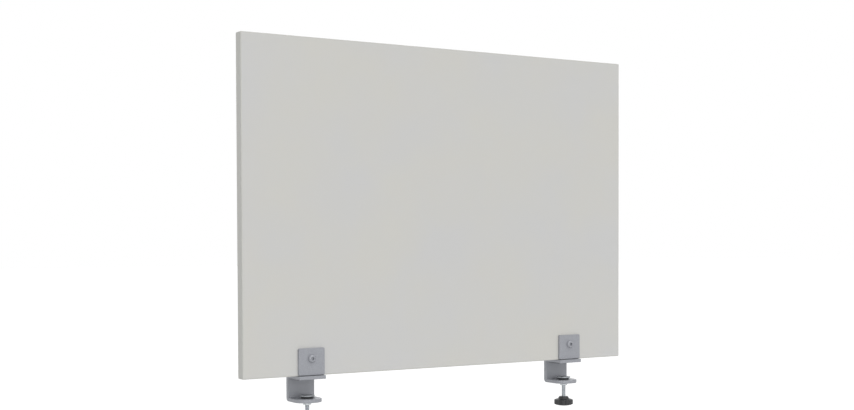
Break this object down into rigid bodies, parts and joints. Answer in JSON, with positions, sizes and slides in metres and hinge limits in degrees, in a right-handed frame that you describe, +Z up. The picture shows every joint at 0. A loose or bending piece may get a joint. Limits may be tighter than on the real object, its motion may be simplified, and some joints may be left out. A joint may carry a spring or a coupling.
{
  "type": "desk divider screen",
  "caption": "Plain rectangular privacy board held upright on the rear edge of a desk by C-shaped screw clamps with hand knobs.",
  "frame": {"origin": "upper rear edge of the desk top, midway between the two clamps", "axes": "+X along the board to the right as seen from the desk, +Y away from the person at the desk, +Z up"},
  "size_m": [0.8, 0.053, 0.663],
  "materials": {
    "chipboard": "raw chipboard",
    "laminate": "matt light grey laminate",
    "edge_band": "matt light grey edge band",
    "clamp_coat": "silver-grey powder coat",
    "zinc_steel": "bright zinc plate",
    "liner_rubber": "fine matt rubber",
    "black_nylon": "fine sparked mould texture"
  },
  "bodies": {
    "root": {"panel_core": "chipboard", "front_laminate": "laminate", "back_laminate": "laminate", "edge_band_left": "edge_band", "edge_band_right": "edge_band", "edge_band_top": "edge_band", "edge_band_bottom": "edge_band", "left_clamp_body": "clamp_coat", "left_front_plate": "clamp_coat", "left_panel_bolt": "zinc_steel", "left_jaw_liner": "liner_rubber", "left_screw_bush": "zinc_steel", "right_clamp_body": "clamp_coat", "right_front_plate": "clamp_coat", "right_panel_bolt": "zinc_steel", "right_jaw_liner": "liner_rubber", "right_screw_bush": "zinc_steel"},
    "left_pad": {"left_pad_body": "black_nylon", "left_pad_disc": "zinc_steel"},
    "left_screw": {"left_clamp_screw": "zinc_steel", "left_knob": "black_nylon"},
    "right_pad": {"right_pad_body": "black_nylon", "right_pad_disc": "zinc_steel"},
    "right_screw": {"right_clamp_screw": "zinc_steel", "right_knob": "black_nylon"}
  },
  "joints": [
    {"name": "left_pad_lift", "type": "slide", "parent": "root", "child": "left_pad", "axis": [0, 0, 1], "range_m": [0, 0.02]},
    {"name": "left_screw_turn", "type": "hinge", "parent": "left_pad", "child": "left_screw", "pos_m": [-0.275, -0.022, -0.05], "axis": [0, 0, 1], "range_deg": [0, 5760]},
    {"name": "right_pad_lift", "type": "slide", "parent": "root", "child": "right_pad", "axis": [0, 0, 1], "range_m": [0, 0.02]},
    {"name": "right_screw_turn", "type": "hinge", "parent": "right_pad", "child": "right_screw", "pos_m": [0.275, -0.022, -0.05], "axis": [0, 0, 1], "range_deg": [0, 5760]}
  ],
  "couplings": [
    {"joint": "left_screw_turn", "follows": "left_pad_lift", "rad_per_m": 5026.5},
    {"joint": "right_screw_turn", "follows": "right_pad_lift", "rad_per_m": 5026.5}
  ]
}
